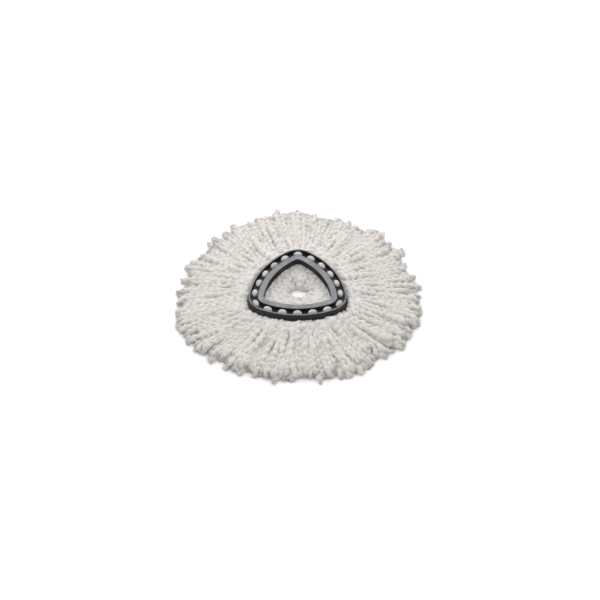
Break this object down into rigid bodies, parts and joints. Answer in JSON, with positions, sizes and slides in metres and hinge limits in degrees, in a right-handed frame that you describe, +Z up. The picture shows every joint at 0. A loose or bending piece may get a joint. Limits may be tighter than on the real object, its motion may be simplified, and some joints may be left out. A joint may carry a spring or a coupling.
{
  "type": "spin mop head",
  "caption": "Round yarn head of a spin mop: bundles of twisted microfibre yarn clamped under a rounded triangular plastic frame.",
  "frame": {"origin": "on the floor that the head rests on, below the centre of its triangular frame", "axes": "+Z up, from the floor to the frame's top; +Y towards one corner of the frame; +X along the side opposite it"},
  "size_m": [0.324, 0.324, 0.0262],
  "materials": {
    "frame_plastic": "moulded, satin",
    "ring_plastic": "smooth, slightly uneven where the stakes are formed",
    "yarn": "soft twisted microfibre"
  },
  "bodies": {
    "root": {"top_frame": "frame_plastic", "clamp_ring": "ring_plastic", "yarn_bundle_01": "yarn", "yarn_bundle_02": "yarn", "yarn_bundle_03": "yarn", "yarn_bundle_04": "yarn", "yarn_bundle_05": "yarn", "yarn_bundle_06": "yarn", "yarn_bundle_07": "yarn", "yarn_bundle_08": "yarn", "yarn_bundle_09": "yarn", "yarn_bundle_10": "yarn", "yarn_bundle_11": "yarn", "yarn_bundle_12": "yarn", "yarn_bundle_13": "yarn", "yarn_bundle_14": "yarn", "yarn_bundle_15": "yarn", "yarn_bundle_16": "yarn", "yarn_bundle_17": "yarn", "yarn_bundle_18": "yarn"}
  },
  "joints": []
}
